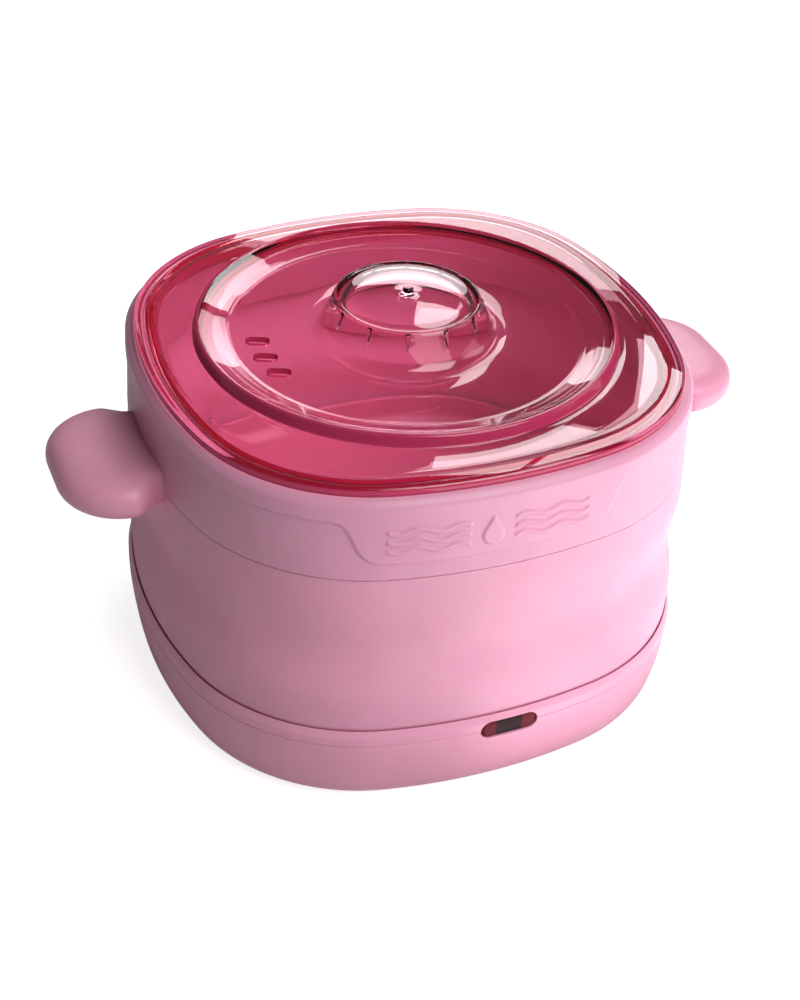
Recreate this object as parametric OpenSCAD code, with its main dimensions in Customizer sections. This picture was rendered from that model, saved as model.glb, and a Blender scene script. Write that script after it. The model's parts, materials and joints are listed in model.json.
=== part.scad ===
// Foldable wax warmer pot with a clear lid. Millimetres, +Z up, origin under the middle of the feet.
// The front, with the badge and the indicator window, faces -Y. The handles lie on the X axis.

/* [Outline] */
// Half of the lid's width, from side to side
half_width = 82.5; // [81:0.5:84]
// Half of the lid's depth, from front to rear
half_depth = 81.5; // [80:0.5:83]
// Radius of the gently bowed left and right sides
side_radius = 145; // [140:1:160]
// Radius of the gently bowed front and rear
front_radius = 171; // [160:1:180]
// Radius of each rounded corner
corner_radius = 57.5; // [55:0.5:60]

/* [Heights] */
// Height of the seam between the base shell and the base ring
seam_z = 26; // [25.5:0.1:26.5]
// Top of the base ring, where the folding wall starts
wall_z = 31.7; // [31.2:0.1:32.2]
// Lower edge of the rim collar, where the folding wall ends
collar_z = 88; // [86:0.1:90]
// Top of the rim collar, which the lid rests on
rim_z = 115; // [114:0.1:118]

/* [Folding wall] */
// Thickness of the silicone wall
wall_t = 2.4; // [1.8:0.1:3]
// How far the soft folds swell and sink
fold_depth = 0.9; // [0.3:0.1:1.2]

/* [Lid] */
// Thickness of the clear moulding
lid_t = 2; // [1.6:0.1:2.4]
// Radius of the raised ring on the lid
ring_radius = 65; // [62:0.1:66]
// Radius of the knob's top rim
knob_radius = 22; // [20:0.5:24]
// Height of the raised ring above the lid's plate
ring_height = 4.6; // [3:0.1:6]
// Height of the knob above the lid's plate
knob_height = 12.6; // [11:0.1:15]
// Number of grip notches round the knob
knob_notches = 12; // [8:1:16]

/* [Handles] */
// Distance from the middle of the pot to a handle's tip
handle_reach = 114; // [112:0.5:120]
// Half the width of a handle
handle_half_width = 26; // [22:0.5:28]
// Thickness of a handle
handle_t = 13.5; // [12:0.5:16]
// Height of a handle's middle
handle_mid_z = 88.4; // [87.5:0.1:91]

/* [Badge] */
// Width of the badge tongue at its lower edge
badge_w = 74; // [60:1:84]
// Distance of the badge's middle from the pot's middle
badge_x = -5.5; // [-10:0.5:10]
// Height of the badge's lower edge
badge_z = 94; // [92:0.1:98]
// How far the badge and the collar stand proud
step_t = 0.6; // [0.4:0.1:0.8]

/* [Indicator window] */
// Distance of the window's middle from the pot's middle
window_x = 4.4; // [-6:0.1:6]
// Width of the indicator window
window_w = 19.2; // [16:0.1:24]
// Height of the indicator window
window_h = 6.6; // [5:0.1:8]

/* [Rear controls] */
// Angle of the heat dial from the rear middle, seen from the side's centre of curvature
dial_angle = 13; // [12:0.5:14]
// Radius of the heat dial
dial_radius = 9; // [8:0.1:9.2]
// Height of the dial's axis and of the power inlet
rear_z = 13; // [12.6:0.1:13.4]

/* [Hidden] */
$fn = 96;

// Outline: the side arcs are centred side_gap beyond the middle, the front and rear arcs front_gap beyond it.
// A corner arc's centre is corner_radius short of both arcs that it joins.
side_gap = side_radius - half_width;
front_gap = front_radius - half_depth;
gap_length = norm([side_gap, front_gap]);
side_reach = side_radius - corner_radius;
front_reach = front_radius - corner_radius;
gap_part = (pow(side_reach, 2) - pow(front_reach, 2) + pow(gap_length, 2)) / (2 * gap_length);
gap_rise = sqrt(pow(side_reach, 2) - pow(gap_part, 2));
corner_x = (gap_part * side_gap + gap_rise * front_gap) / gap_length - side_gap;
corner_y = (gap_rise * side_gap - gap_part * front_gap) / gap_length;
side_angle = atan2(corner_y, corner_x + side_gap);
front_angle = atan2(corner_y + front_gap, corner_x);
side_runs = 6;
corner_runs = 9;
plate_core = 72;
plate_ring = -20;

// Offsets of the outer skin from the lid's outline
base_swell = 5.5;
ring_top_swell = 4.6;
wall_swell = 3.9;
collar_swell = 3.2;
step_swell = 2.1;
rim_swell = 1.2;
collar_step_z = rim_z - 7;

// Base
floor_z = 0.8;
floor_t = 2.6;
shell_t = 2.4;
shelf_z = seam_z + 0.1;
shelf_t = 2.6;
shelf_in = -17;
foot_r = 7;
foot_at = 66;
post_at = 74;
post_angles = [20, 160, 200, 340];
screw_r = 1.5;
screw_head_r = 2.8;

// Pan and heater, stacked downwards from the pan's floor
pan_t = 1.6;
pan_z = shelf_z + shelf_t + 1;
pan_lip_z = wall_z + 9.5;
element_t = 2;
insulation_t = 1.9;
clamp_t = 1.1;
element_z = pan_z - element_t;
insulation_z = element_z - insulation_t;
clamp_z = insulation_z - clamp_t;
stack_r = 60;
stud_at = 40;
stud_r = 2;
stud_angles = [45, 135, 225, 315];
pan_screw_at = 77;
gasket_in = -8;
diagonals = [45, 135, 225, 315];

// Rim frame
frame_out = 0.2;
frame_in = -3.2;
frame_z = collar_z + 0.4;
frame_top = rim_z - 2.1;
tab_half_width = 13;
tab_t = 3.4;
tab_z = handle_mid_z + 1.8;
tab_tip = handle_reach - 12;

// Handles
handle_lobe_r = 17;
handle_lobe_x = handle_reach - handle_lobe_r;
handle_lobe_y = handle_half_width - handle_lobe_r;
handle_round = 7;
handle_screw_y = 8;

// Lid
plate_top = rim_z + 3;
plate_bottom = plate_top - lid_t;
skirt_out = -4.2;
knob_top = plate_top + knob_height;
vent_w = 7.6;
vent_h = 3.8;
vents = [[-46.3, 7], [-46.9, -2.9], [-45.7, -12.3]];
// Turn of each vent from the X axis.
vent_turn = -22;

// Controls
board_z = 8;
board_size = [66, 46, 1.6];
board_mid = [0, -14];
board_hole = [28, 18];
bulkhead_y = half_depth - 5;
dial_face_y = half_depth + 0.9;
inlet_face_y = half_depth + 2.9;

// Points along an arc, without its last one
function arc(x, y, r, start, end, runs) =
    [for (i = [0:runs - 1]) let (a = start + (end - start) * i / runs) [x + r * cos(a), y + r * sin(a)]];

// Half of the outline offset outwards by d: the right side, a rear corner, the rear and the other rear corner
function half_outline(d) = concat(
    arc(-side_gap, 0, side_radius + d, -side_angle, side_angle, side_runs),
    arc(corner_x, corner_y, corner_radius + d, side_angle, front_angle, corner_runs),
    arc(0, -front_gap, front_radius + d, front_angle, 180 - front_angle, side_runs),
    arc(-corner_x, corner_y, corner_radius + d, 180 - front_angle, 180 - side_angle, corner_runs)
);

function outline(d) = [for (side = [1, -1]) each [for (p = half_outline(d)) side * p]];

// Twice the signed area of a closed profile, which tells which way round it runs
function cross_at(p, i) = let (next = (i + 1) % len(p)) p[i][0] * p[next][1] - p[next][0] * p[i][1];
function turn_of(p, i = 0) = i == len(p) ? 0 : cross_at(p, i) + turn_of(p, i + 1);

// Sweeps a profile round the outline: x is the distance outside the outline and y is the height
module around(profile) {
    way = turn_of(profile) > 0 ? profile : [for (i = [len(profile) - 1:-1:0]) profile[i]];
    count = len(way);
    runs = len(outline(0));
    polyhedron(
        [for (p = way) each [for (q = outline(p[0])) [q[0], q[1], p[1]]]],
        [for (j = [0:count - 1], i = [0:runs - 1]) let (up = ((j + 1) % count) * runs, next = (i + 1) % runs)
            [j * runs + i, up + i, up + next, j * runs + next]]
    );
}

// Copies its children round the Z axis at the given angles and distance
module spread(angles, distance) {
    for (a = angles) rotate(a) translate([distance, 0, 0]) children();
}

// Moves something drawn at the middle of the rear round the bowed rear side
module along_rear(angle) {
    translate([0, -front_gap, 0]) rotate(-angle) translate([0, front_gap, 0]) children();
}

// A rod along +Y, from y0 to y1
module rod_y(r, y0, y1) {
    translate([0, y0, 0]) rotate([-90, 0, 0]) cylinder(r = r, h = y1 - y0);
}

// A pill-shaped bar along Z, w long in X and h wide in Y
module pill(w, h, length) {
    for (side = [-1, 1]) translate([side * (w - h) / 2, 0, 0]) cylinder(r = h / 2, h = length);
    translate([-(w - h) / 2, -h / 2, 0]) cube([w - h, h, length]);
}

// A pill-shaped bar through the front wall at the seam, grown by gap all round
module window_bar(gap, y0, y1) {
    translate([window_x, y0, seam_z]) rotate([-90, 0, 0])
        pill(window_w + 2 * gap, window_h + 2 * gap, y1 - y0);
}

// A round-headed screw, head down, with its shank going up
module screw(shank, head_r = screw_head_r, head_t = 2) {
    cylinder(r = head_r, h = head_t);
    translate([0, 0, head_t]) cylinder(r = screw_r, h = shank);
}

// A wire through the given points, as a chain of short straight runs
module wire(points, r = 0.9) {
    for (i = [0:len(points) - 2]) hull() {
        translate(points[i]) sphere(r = r, $fn = 8);
        translate(points[i + 1]) sphere(r = r, $fn = 8);
    }
}

// Offset of the folding wall's skin at a height from 0 at its foot to 1 at its head
function fold_skin(u) = wall_swell - 0.9 * u + fold_depth * (cos(470 * u - 60) - 0.5) * sin(180 * u);

module lid_plate() {
    around([
        [plate_ring + 6, plate_bottom], [skirt_out - 1.8, plate_bottom],
        [skirt_out - 1.8, rim_z - 4.8], [skirt_out - 0.5, rim_z - 5.2], [skirt_out, rim_z - 4.6],
        [skirt_out, plate_bottom], [-lid_t, plate_bottom], [-lid_t, rim_z], [0, rim_z],
        [0, plate_top - 2.2], [-0.35, plate_top - 1.2], [-1.1, plate_top - 0.4],
        [-2.2, plate_top], [plate_ring + 6, plate_top]
    ]);
}

module lid_disc() {
    ring_z = plate_top + ring_height;
    rotate_extrude() polygon([
        [76, plate_bottom], [76, plate_top], [ring_radius + 1.6, plate_top],
        [ring_radius + 0.6, ring_z - 0.5], [ring_radius, ring_z], [ring_radius - 0.8, ring_z],
        [ring_radius - 8.8, plate_top],
        [34, plate_top], [30.6, plate_top + 0.4], [28.2, plate_top + 1.6], [knob_radius + 1.4, knob_top - 1],
        [knob_radius + 0.6, knob_top], [knob_radius - 0.8, knob_top + 0.5], [knob_radius - 3, knob_top + 0.5],
        [0, knob_top + 1.8], [0, knob_top - 0.2], [knob_radius - 3, knob_top - 1.5],
        [knob_radius - 1, knob_top - 1.7], [25.8, plate_top + 1.4], [28.4, plate_bottom + 0.3],
        [32, plate_bottom], [ring_radius - 8, plate_bottom], [ring_radius - 1.4, ring_z - lid_t],
        [ring_radius + 0.4, plate_bottom]
    ]);
}

module lid() {
    color("#e0577f", 0.5) difference() {
        union() {
            lid_plate();
            lid_disc();
            translate([0, 0, knob_top + 1]) cylinder(r = 1.6, h = 2);
            spread([for (i = [0:knob_notches - 1]) 360 * i / knob_notches], knob_radius)
                translate([0, 0, knob_top - 3.4]) rotate([90, 0, 0])
                linear_extrude(1.2, center = true) polygon([[1.2, 0], [2, 3.2], [0, 3.2]]);
        }
        for (at = vents) translate([at[0], at[1], plate_bottom - 1]) rotate([0, 0, vent_turn])
            pill(vent_w, vent_h, lid_t + 2);
    }
}

// Outline of the badge tongue in X and Z, with its round corners
function badge_corner(x, z, r, start, end) =
    [for (i = [0:6]) let (a = start + (end - start) * i / 6) [x + r * cos(a), z + r * sin(a)]];
badge_half = badge_w / 2;
badge_lean = 6;
badge_outline = concat(
    [[-badge_half - badge_lean, collar_step_z + 3], [-badge_half - badge_lean, collar_step_z]],
    badge_corner(5 - badge_half, badge_z + 5, 5, 195, 270),
    badge_corner(badge_half - 4, badge_z + 4, 4, 270, 345),
    [[badge_half + badge_lean, collar_step_z], [badge_half + badge_lean, collar_step_z + 3]]
);

module badge_prism(y0, y1) {
    translate([badge_x, y1, 0]) rotate([90, 0, 0]) linear_extrude(y1 - y0) polygon(badge_outline);
}

// One rippling line of the badge, from x = 0 to length, as a closed outline
function ripple(length, height, thick) =
    let (n = 16, top = [for (i = [0:n]) [length * i / n, height * sin(720 * i / n) + thick / 2]])
    concat(top, [for (i = [n:-1:0]) [top[i][0], top[i][1] - thick]]);

// A wax drop between three rippling lines on each side, raised on the badge
module badge_relief() {
    mid_z = (badge_z + collar_step_z) / 2 + 0.4;
    translate([badge_x, -60, mid_z]) rotate([90, 0, 0]) linear_extrude(40) {
        translate([0, -1.2]) circle(r = 3.4, $fn = 32);
        polygon([[-3.1, 0.2], [0, 5.6], [3.1, 0.2]]);
        for (side = [-1, 1], row = [-1:1]) scale([side, 1])
            translate([6.4, 3.1 * row - 0.2]) polygon(ripple(badge_w / 2 - 14, 0.8, 1.1));
    }
}

module rim_collar() {
    skin = [
        [frame_out, collar_z], [collar_swell, collar_z], [step_swell, collar_step_z],
        [step_swell + step_t, collar_step_z + 0.3], [rim_swell + step_t, rim_z - 2],
        [rim_swell + 0.3, rim_z - 0.7], [rim_swell - 0.8, rim_z], [frame_in, rim_z],
        [frame_in, frame_top], [frame_out, frame_top]
    ];
    tongue = [
        [frame_out + 0.4, collar_z + 2], [collar_swell + step_t - 0.1, collar_z + 2],
        [step_swell + step_t - 0.15, collar_step_z + 0.9], [frame_out + 0.4, collar_step_z + 0.9]
    ];
    relief = [for (p = tongue) [p[0] + (p[0] > 1 ? step_t : 0.4), p[1]]];
    color("#e59cb9") difference() {
        union() {
            around(skin);
            intersection() {
                around(tongue);
                badge_prism(-100, -60);
            }
            intersection() {
                around(relief);
                badge_relief();
            }
        }
        for (side = [-1, 1]) translate([side * half_width, 0, tab_z])
            cube([20, 2 * tab_half_width + 0.4, tab_t + 0.4], center = true);
    }
}

module rim_frame() {
    color("#c9738f") difference() {
        union() {
            around([
                [frame_in, frame_z], [frame_out, frame_z], [frame_out, frame_top], [frame_in, frame_top]
            ]);
            for (side = [-1, 1]) translate([side * (half_width - 2 + tab_tip) / 2, 0, tab_z])
                cube([tab_tip - half_width + 2, 2 * tab_half_width, tab_t], center = true);
        }
        for (side = [-1, 1], y = [-handle_screw_y, handle_screw_y])
            translate([side * (tab_tip - 6), y, tab_z - tab_t]) cylinder(r = screw_r, h = 2 * tab_t);
    }
}

// One lobe of a handle: a thick puck with a well rounded rim
module handle_lobe() {
    edge = [for (i = [0:6]) [handle_lobe_r - handle_round + handle_round * cos(15 * i),
        handle_t / 2 - handle_round + handle_round * sin(15 * i)]];
    lower = [for (i = [0:6]) [edge[6 - i][0], -edge[6 - i][1]]];
    rotate_extrude($fn = 48) polygon(concat([[0, -handle_t / 2]], lower, edge, [[0, handle_t / 2]]));
}

module handle(side) {
    color("#dd93b2") difference() {
        hull() {
            for (y = [-handle_lobe_y, handle_lobe_y])
                translate([side * handle_lobe_x, y, handle_mid_z]) handle_lobe();
        }
        around([[plate_ring, handle_mid_z - handle_t], [collar_swell + 0.05, handle_mid_z - handle_t],
            [collar_swell + 0.05, handle_mid_z + handle_t], [plate_ring, handle_mid_z + handle_t]]);
        translate([side * (half_width + tab_tip) / 2, 0, tab_z])
            cube([tab_tip - half_width + 0.4, 2 * tab_half_width + 0.4, tab_t + 0.4], center = true);
        for (y = [-handle_screw_y, handle_screw_y])
            translate([side * (tab_tip - 6), y, handle_mid_z - handle_t])
                cylinder(r = screw_head_r + 0.2, h = handle_t + tab_z - handle_mid_z);
    }
}

module handle_screws() {
    color("#b9bcc2") for (side = [-1, 1], y = [-handle_screw_y, handle_screw_y])
        translate([side * (tab_tip - 6), y, tab_z - tab_t / 2 - 2.2]) screw(tab_t);
}

module fold_wall() {
    steps = 14;
    height = collar_z - 0.1 - wall_z;
    skin = [for (i = [0:steps]) [fold_skin(i / steps), wall_z + height * i / steps]];
    lining = [for (i = [0:steps]) [skin[steps - i][0] - wall_t, skin[steps - i][1]]];
    foot = [[gasket_in, shelf_z + shelf_t], [fold_skin(0) - 0.4, shelf_z + shelf_t]];
    gasket = [[fold_skin(0) - wall_t, pan_z], [gasket_in, pan_z]];
    color("#d98bab") around(concat(foot, skin, lining, gasket));
}

module base_ring() {
    color("#e3a0bd") difference() {
        around([
            [shelf_in, shelf_z], [base_swell - 0.3, shelf_z], [base_swell, shelf_z + 0.4],
            [base_swell - 0.2, wall_z - 2.4], [ring_top_swell, wall_z - 0.5],
            [ring_top_swell - 0.5, wall_z - 0.2], [wall_swell + 0.1, wall_z - 0.4],
            [wall_swell + 0.1, shelf_z + shelf_t], [shelf_in, shelf_z + shelf_t]
        ]);
        spread(post_angles, post_at) translate([0, 0, shelf_z - 1]) cylinder(r = screw_r, h = shelf_t + 0.6);
        spread(diagonals, pan_screw_at) translate([0, 0, shelf_z - 1])
            cylinder(r = screw_r + 0.1, h = shelf_t + 2);
        window_bar(0, -100, 2.5 - half_depth);
    }
}

module shell_cup() {
    around([
        [plate_ring, floor_z], [-4.5, floor_z], [-2, floor_z + 0.7], [0.4, floor_z + 2], [2.2, floor_z + 4.2],
        [3.2, floor_z + 7], [4.4, 14.5], [base_swell, seam_z - 2.5], [base_swell, seam_z - 0.4],
        [base_swell - 0.3, seam_z], [base_swell - shell_t, seam_z], [base_swell - shell_t, seam_z - 2.5],
        [4.4 - shell_t, 14.5], [3.2 - shell_t, floor_z + 7.6], [-1.6, floor_z + 4.6],
        [-4.5, floor_z + floor_t], [plate_ring, floor_z + floor_t]
    ]);
    translate([0, 0, floor_z]) cylinder(r = plate_core, h = floor_t);
}

module base_shell() {
    inlet_hole = [22, 30, 13];
    color("#d78fae") difference() {
        union() {
            shell_cup();
            spread(post_angles, post_at) translate([0, 0, floor_z + 1])
                cylinder(r = 4.4, h = seam_z - floor_z - 1);
            for (x = [-1, 1], y = [-1, 1]) translate([board_mid[0] + x * board_hole[0],
                board_mid[1] + y * board_hole[1], floor_z + 1]) cylinder(r = 3, h = board_z - floor_z - 1);
            along_rear(dial_angle) translate([-11, bulkhead_y, floor_z + 1])
                cube([22, 2, seam_z - floor_z - 2]);
        }
        spread(post_angles, post_at) {
            translate([0, 0, -1]) cylinder(r = screw_head_r + 0.3, h = 18);
            translate([0, 0, 10]) cylinder(r = screw_r + 0.1, h = 20);
        }
        spread(diagonals, foot_at) translate([0, 0, -1]) cylinder(r = foot_r + 0.1, h = floor_z + 2.2);
        for (x = [-1, 1], y = [-1, 1]) translate([board_mid[0] + x * board_hole[0],
            board_mid[1] + y * board_hole[1], floor_z + floor_t]) cylinder(r = 1.2, h = board_z);
        for (x = [-2:2]) translate([9 * x, -47, -1]) rotate(90) pill(14, 3, 8);
        translate([0, half_depth - 7.5, rear_z]) cube(inlet_hole, center = true);
        along_rear(dial_angle) translate([0, 0, rear_z]) {
            rod_y(3.6, bulkhead_y - 7.5, bulkhead_y + 4.5);
            rod_y(dial_radius + 0.5, bulkhead_y + 2, 95);
        }
        window_bar(0, -100, 2.5 - half_depth);
    }
}

module rubber_feet() {
    color("#55444c") spread(diagonals, foot_at) {
        cylinder(r = foot_r - 0.6, h = 0.4);
        translate([0, 0, 0.4]) cylinder(r = foot_r, h = floor_z + 0.8);
    }
}

module base_screws() {
    color("#b9bcc2") spread(post_angles, post_at) translate([0, 0, 15]) screw(shelf_z + 2 - 17);
}

module heating_pan() {
    floor_top = pan_z + pan_t;
    color("#c56583") difference() {
        union() {
            around([
                [plate_ring, pan_z], [-3.6, pan_z], [-2.2, pan_z + 0.5], [-1, pan_z + 2.1],
                [0.6, pan_z + 2.1], [0.6, wall_z], [-0.2, wall_z + 0.6],
                [-0.2, pan_lip_z - 0.8], [-0.6, pan_lip_z],
                [-1.4, pan_lip_z], [-1.8, pan_lip_z - 0.8], [-1.8, pan_z + 4.4], [-2.6, floor_top + 0.9],
                [-4.6, floor_top], [plate_ring, floor_top]
            ]);
            translate([0, 0, pan_z]) cylinder(r = plate_core, h = pan_t);
            spread(diagonals, pan_screw_at) translate([0, 0, shelf_z + shelf_t])
                cylinder(r = 3.4, h = floor_top - shelf_z - shelf_t);
            spread(stud_angles, stud_at) translate([0, 0, clamp_z - 4])
                cylinder(r = stud_r, h = pan_z - clamp_z + 4.4);
        }
        spread(diagonals, pan_screw_at) translate([0, 0, 20]) cylinder(r = screw_r, h = pan_z + 1 - 20);
    }
}

module pan_screws() {
    color("#b9bcc2") spread(diagonals, pan_screw_at) translate([0, 0, shelf_z - 2])
        screw(pan_z + 0.8 - shelf_z);
}

// A layer of the heater stack with holes for the studs and the sensor
module stack_layer(r, z, t, hole) {
    difference() {
        translate([0, 0, z]) cylinder(r = r, h = t);
        translate([0, 0, z - 1]) cylinder(r = hole, h = t + 2);
        spread(stud_angles, stud_at) translate([0, 0, z - 1]) cylinder(r = stud_r + 0.3, h = t + 2);
    }
}

module heating_element() {
    color("#8c7d5f") {
        stack_layer(stack_r - 2, element_z, element_t, 12);
        for (side = [-1, 1]) translate([side * 6 - 2, -stack_r - 2, element_z + 0.4]) cube([4, 8, 1]);
    }
}

module insulation_disc() {
    color("#e8e4da") stack_layer(stack_r, insulation_z, insulation_t, 5);
}

module clamp_plate() {
    color("#c4c6c9") stack_layer(stack_r + 1, clamp_z, clamp_t, 5);
}

module clamp_nuts() {
    color("#a9acb0") spread(stud_angles, stud_at) translate([0, 0, clamp_z - 2.6]) difference() {
        cylinder(r = 4, h = 2.6, $fn = 6);
        translate([0, 0, -1]) cylinder(r = stud_r, h = 5);
    }
}

module temperature_sensor() {
    color("#d9d9dc") {
        translate([0, 0, clamp_z - 1.6]) cylinder(r = 3.4, h = pan_z - clamp_z + 1.6);
        translate([0, 0, clamp_z - 1.6]) cylinder(r = 6.6, h = 1.6);
    }
}

module thermal_fuse() {
    color("#e9e2c6") translate([-8, 22, clamp_z - 2.4]) rotate([0, 90, 0]) {
        cylinder(r = 2, h = 16);
        translate([0, 0, -4]) cylinder(r = 0.6, h = 24);
    }
}

module fuse_clip() {
    color("#c4c6c9") difference() {
        translate([-3, 16, clamp_z - 5.2]) cube([6, 12, 5.2]);
        translate([-4, 22, clamp_z - 2.4]) rotate([0, 90, 0]) cylinder(r = 2, h = 8);
        translate([-4, 15, clamp_z - 6.2]) cube([8, 3.6, 5.2]);
        translate([-4, 25.4, clamp_z - 6.2]) cube([8, 3.6, 5.2]);
    }
}

module control_board() {
    color("#2f6b4a") difference() {
        translate([board_mid[0], board_mid[1], board_z + board_size[2] / 2]) cube(board_size, center = true);
        for (x = [-1, 1], y = [-1, 1]) translate([board_mid[0] + x * board_hole[0],
            board_mid[1] + y * board_hole[1], board_z - 1]) cylinder(r = 1.6, h = 5);
    }
}

module board_parts() {
    top = board_z + board_size[2];
    color("#3a3f45") translate([board_mid[0], board_mid[1], top]) {
        translate([-22, -8, 0]) cube([15, 12, 8]);
        translate([-2, 8, 0]) cylinder(r = 4, h = 8);
        translate([8, 8, 0]) cylinder(r = 3, h = 7);
        translate([2, -12, 0]) cube([8, 7, 2]);
        translate([18, -9, 0]) cube([6, 18, 7]);
        translate([-20, 10, 0]) cube([12, 6, 6]);
    }
}

module board_screws() {
    color("#b9bcc2") for (x = [-1, 1], y = [-1, 1]) translate([board_mid[0] + x * board_hole[0],
        board_mid[1] + y * board_hole[1], board_z + board_size[2]]) {
        cylinder(r = 2.4, h = 1.6);
        translate([0, 0, -5]) cylinder(r = 1.2, h = 5.2);
    }
}

module heater_wires() {
    top = board_z + board_size[2];
    color("#d8d2c4") {
        wire([[-6, -63.2, element_z + 0.9], [-6, -63.2, 19], [-12, -60, 14], [-14, -32, top + 1]]);
        wire([[6, -63.2, element_z + 0.9], [6, -63.2, 19], [16, -58, 14], [14, -32, top + 1]]);
        wire([[-13.2, 22, clamp_z - 2.4], [-20, 18, 15], [-18, 5, top + 1]]);
        wire([[13.2, 22, clamp_z - 2.4], [18, 16, 15], [14, 5, top + 1]]);
    }
}

module supply_wires() {
    top = board_z + board_size[2];
    color("#7a4b3a") for (side = [-1, 1])
        wire([[side * 4.3, half_depth - 20, rear_z], [side * 5, 55, 9], [side * 8, 30, 7],
            [side * 8, 14, 12.6], [side * 8, 6, top + 1.3]], 1.1);
}

module indicator_lens() {
    color("#7d1f2c", 0.7) window_bar(-0.15, -half_depth - 4.6, -half_depth - 3.9);
}

module led_board() {
    color("#2f6b4a") translate([window_x - 12, 3 - half_depth, seam_z - 6.4]) cube([24, 1.6, 6.2]);
}

module status_leds() {
    color("#3a1418") for (x = [-5, 0, 5]) translate([window_x + x - 2, -half_depth - 1.6, seam_z - 2.2])
        cube([4, 4.6, 2.2]);
}

module led_wires() {
    top = board_z + board_size[2];
    color("#9a2f38") for (x = [-2, 2])
        wire([[window_x + x, 5.5 - half_depth, seam_z - 4], [x, -71, 14], [x, -56, 10],
            [x, -35, top + 1.4]], 0.6);
}

module power_inlet() {
    color("#26262a") difference() {
        union() {
            translate([0, inlet_face_y - 1.3, rear_z]) cube([21.6, 2.6, 12.6], center = true);
            translate([0, inlet_face_y - 10.3, rear_z]) cube([18.4, 17, 10.4], center = true);
        }
        translate([0, inlet_face_y + 0.7, rear_z]) rotate([90, 0, 0]) {
            for (side = [-1, 1]) translate([side * 3.2, 0, 0]) cylinder(r = 3.9, h = 13);
            translate([-3.2, -3.9, 0]) cube([6.4, 7.8, 13]);
        }
        for (side = [-1, 1]) translate([side * 4.3, inlet_face_y - 24, rear_z])
            rotate([-90, 0, 0]) cylinder(r = 1.2, h = 20);
    }
}

module inlet_pins() {
    color("#d0c49a") for (side = [-1, 1]) translate([side * 4.3, 0, rear_z])
        rod_y(1.2, inlet_face_y - 21.4, inlet_face_y - 2.9);
}

module heat_selector() {
    color("#4a4d52") along_rear(dial_angle) translate([0, 0, rear_z]) difference() {
        union() {
            rod_y(8, bulkhead_y - 10, bulkhead_y);
            rod_y(3.5, bulkhead_y - 7, bulkhead_y + 4.4);
        }
        rod_y(3.05, bulkhead_y - 20, bulkhead_y + 20);
    }
}

module selector_nut() {
    color("#a9acb0") along_rear(dial_angle) translate([0, bulkhead_y + 2, rear_z]) rotate([-90, 0, 0])
    difference() {
        cylinder(r = 6, h = 2, $fn = 6);
        translate([0, 0, -1]) cylinder(r = 3.5, h = 4);
    }
}

module selector_wires() {
    top = board_z + board_size[2];
    color("#c9b13c") for (x = [-3, 0, 3])
        wire([[31 + x, 61, 9], [30 + x, 44, 7], [24 + x / 2, 14, 12], [22 + x / 2, 6, top + 1]], 0.6);
}

module dial_shaft() {
    color("#a9acb0") along_rear(dial_angle) translate([0, 0, rear_z])
        rod_y(3, bulkhead_y - 9, dial_face_y - 0.6);
}

module heat_dial() {
    color("#e9a9c3") along_rear(dial_angle) translate([0, 0, rear_z]) difference() {
        union() {
            rod_y(dial_radius, bulkhead_y + 2.2, dial_face_y);
            translate([-1.8, dial_face_y - 1, -dial_radius + 1]) cube([3.6, 3.8, 2 * dial_radius - 2]);
        }
        rod_y(7, bulkhead_y, bulkhead_y + 4.7);
        rod_y(3, bulkhead_y, dial_face_y - 0.6);
        for (i = [0:17]) rotate([0, 20 * i, 0]) translate([dial_radius + 0.3, 0, 0])
            rod_y(0.7, bulkhead_y, 90);
        translate([-0.5, dial_face_y + 2.2, 3]) cube([1, 3, 4]);
    }
}

lid();
rim_collar();
rim_frame();
handle(-1);  // left_handle
handle(1);  // right_handle
handle_screws();
fold_wall();
base_ring();
base_shell();
rubber_feet();
base_screws();
heating_pan();
pan_screws();
heating_element();
insulation_disc();
clamp_plate();
clamp_nuts();
temperature_sensor();
thermal_fuse();
fuse_clip();
control_board();
board_parts();
board_screws();
heater_wires();
supply_wires();
indicator_lens();
led_board();
status_leds();
led_wires();
power_inlet();
inlet_pins();
heat_selector();
selector_nut();
selector_wires();
dial_shaft();
heat_dial();
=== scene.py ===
# Looks for the foldable wax warmer pot: smooth skins, clear lid, soft silicone and a small studio.
# Lengths in this script are millimetres until a mesh is made; MM turns them into metres.
import json
import math

import bmesh
import bpy
import numpy as np
from mathutils import Matrix, Vector


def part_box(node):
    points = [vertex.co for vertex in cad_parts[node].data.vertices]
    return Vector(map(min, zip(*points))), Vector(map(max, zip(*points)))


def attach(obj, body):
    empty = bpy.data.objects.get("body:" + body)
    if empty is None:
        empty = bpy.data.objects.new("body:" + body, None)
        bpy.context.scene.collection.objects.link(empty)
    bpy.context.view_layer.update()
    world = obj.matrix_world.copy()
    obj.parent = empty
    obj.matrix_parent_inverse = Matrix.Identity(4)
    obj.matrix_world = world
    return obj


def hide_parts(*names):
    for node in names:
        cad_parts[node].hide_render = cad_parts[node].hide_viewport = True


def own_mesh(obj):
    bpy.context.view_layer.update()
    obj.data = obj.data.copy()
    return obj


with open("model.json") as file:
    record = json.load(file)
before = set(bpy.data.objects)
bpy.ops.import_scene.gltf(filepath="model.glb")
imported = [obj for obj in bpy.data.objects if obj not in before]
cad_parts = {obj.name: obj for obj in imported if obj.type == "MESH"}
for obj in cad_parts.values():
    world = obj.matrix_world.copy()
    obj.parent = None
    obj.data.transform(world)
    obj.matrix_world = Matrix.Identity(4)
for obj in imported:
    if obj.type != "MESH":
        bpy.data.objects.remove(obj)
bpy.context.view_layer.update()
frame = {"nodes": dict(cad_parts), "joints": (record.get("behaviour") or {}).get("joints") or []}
MM = 0.001


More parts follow.
